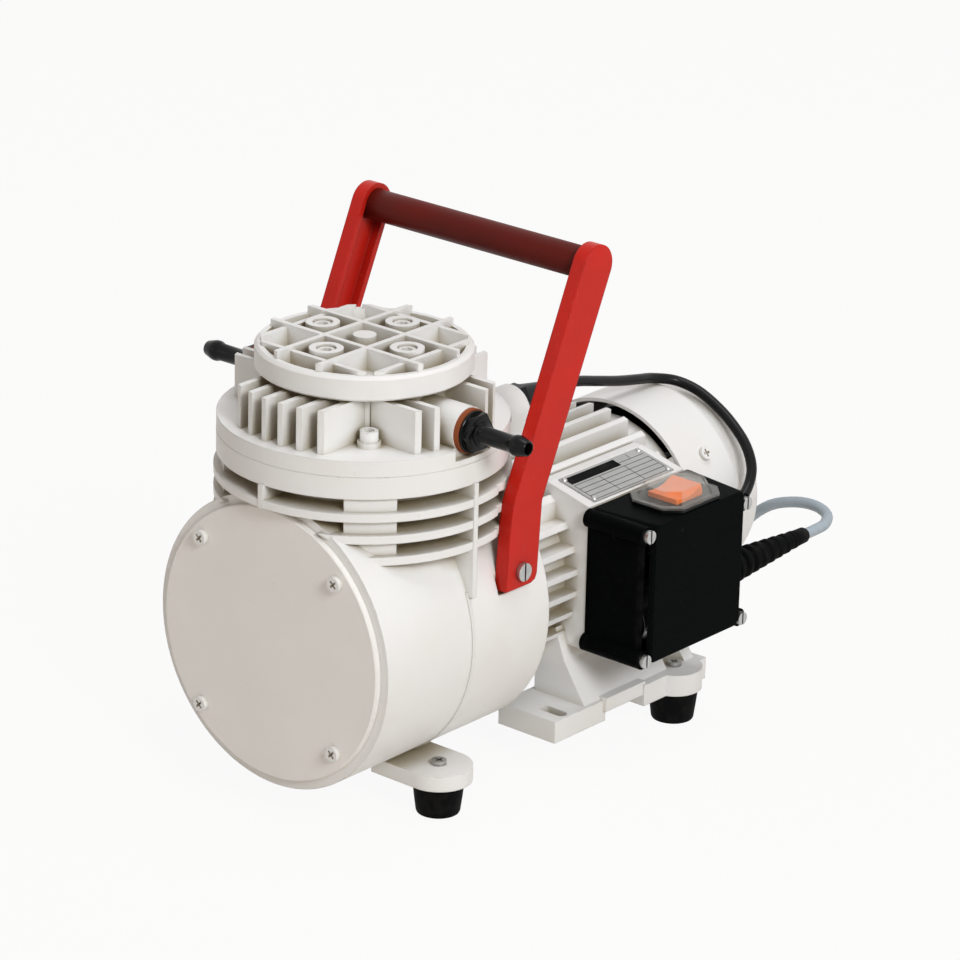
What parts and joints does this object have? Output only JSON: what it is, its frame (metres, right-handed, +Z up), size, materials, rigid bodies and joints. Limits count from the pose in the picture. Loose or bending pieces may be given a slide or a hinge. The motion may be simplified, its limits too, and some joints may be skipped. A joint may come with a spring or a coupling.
{
  "type": "diaphragm vacuum pump",
  "caption": "Portable diaphragm vacuum pump: finned head with hose nozzles, crankcase, electric motor with switch box, carrying handle and rubber feet.",
  "frame": {"origin": "centre of the pump's footprint, on the surface its rubber feet stand on (without the cord)", "axes": "+Z up, +Y along the motor shaft from the crankcase's front plate towards the fan cowl, +X towards the terminal box"},
  "size_m": [0.2512, 0.3362, 0.2622],
  "materials": {
    "white_enamel": "white enamel over a cast aluminium skin",
    "painted_screws": "white enamel over steel screws",
    "plate_enamel": "smooth grey-beige enamel",
    "bright_steel": "zinc-plated steel",
    "dark_steel": "oiled machined steel",
    "bare_alloy": "bare machined aluminium",
    "red_enamel": "glossy red enamel on pressed steel",
    "grip_plastic": "dark red-brown grip tube",
    "black_rubber": "black rubber",
    "black_plastic": "black grained plastic",
    "gloss_black": "glossy black plastic",
    "seal_rubber": "orange-brown seal rubber",
    "orange_plastic": "orange translucent plastic",
    "clear_plastic": "clear soft plastic",
    "copper_winding": "lacquered copper wire",
    "grey_cord": "pale grey-blue cord sheath",
    "plate_silver": "bare anodised plate",
    "white_plastic": "white terminal plastic"
  },
  "bodies": {
    "pump_body": {"crankcase": "white_enamel", "front_plate": "plate_enamel", "front_plate_screws": "painted_screws", "diaphragm": "black_rubber", "head_body": "white_enamel", "head_screws": "painted_screws", "inlet_valve": "black_rubber", "outlet_valve": "black_rubber", "lid_gasket": "black_rubber", "head_lid": "white_enamel", "lid_screws": "painted_screws", "inlet_nozzle": "gloss_black", "outlet_nozzle": "gloss_black", "nozzle_seals": "seal_rubber", "carry_handle": "red_enamel", "handle_grip": "grip_plastic", "handle_screws": "bright_steel", "front_shield": "white_enamel", "flange_screws": "dark_steel", "motor_frame": "white_enamel", "rear_shield": "white_enamel", "tie_bolts": "bright_steel", "stator": "dark_steel", "windings": "copper_winding", "front_bearing": "bright_steel", "rear_bearing": "bright_steel", "fan_cowl": "white_enamel", "cowl_screws": "painted_screws", "rating_plate": "plate_silver", "plate_rivets": "bright_steel", "box_base": "black_plastic", "box_cover": "black_plastic", "box_screws": "bright_steel", "capacitor": "bare_alloy", "terminal_block": "white_plastic", "switch_body": "black_plastic", "switch_cover": "clear_plastic", "lead_gland": "black_plastic", "motor_lead": "gloss_black", "lead_grommet": "black_rubber", "strain_relief": "black_rubber", "mains_cord": "grey_cord", "cord_coil": "grey_cord", "cord_plug": "gloss_black", "rubber_feet": "black_rubber", "foot_screws": "bright_steel"},
    "shaft": {"motor_shaft": "bright_steel", "rotor": "dark_steel", "fan": "black_plastic", "eccentric": "dark_steel", "eccentric_washer": "bright_steel", "eccentric_screw": "dark_steel", "counterweight": "dark_steel", "shaft_spacer": "bright_steel"},
    "rod": {"connecting_rod": "bare_alloy", "rod_bearing": "bright_steel", "diaphragm_disc": "bare_alloy", "diaphragm_screw": "bright_steel"},
    "rocker": {"switch_rocker": "orange_plastic"}
  },
  "joints": [
    {"name": "shaft_spin", "type": "hinge", "parent": "pump_body", "child": "shaft", "pos_m": [0, -0.088, 0.087], "axis": [0, 1, 0], "continuous": true},
    {"name": "rod_orbit", "type": "hinge", "parent": "shaft", "child": "rod", "pos_m": [0, -0.088, 0.085], "axis": [0, 1, 0], "continuous": true, "deforming": ["diaphragm"]},
    {"name": "rocker_tip", "type": "hinge", "parent": "pump_body", "child": "rocker", "pos_m": [0.0815, 0.043, 0.129], "axis": [1, 0, 0], "range_deg": [-20, 0]}
  ],
  "couplings": [
    {"joint": "rod_orbit", "follows": "shaft_spin", "ratio": -1}
  ]
}
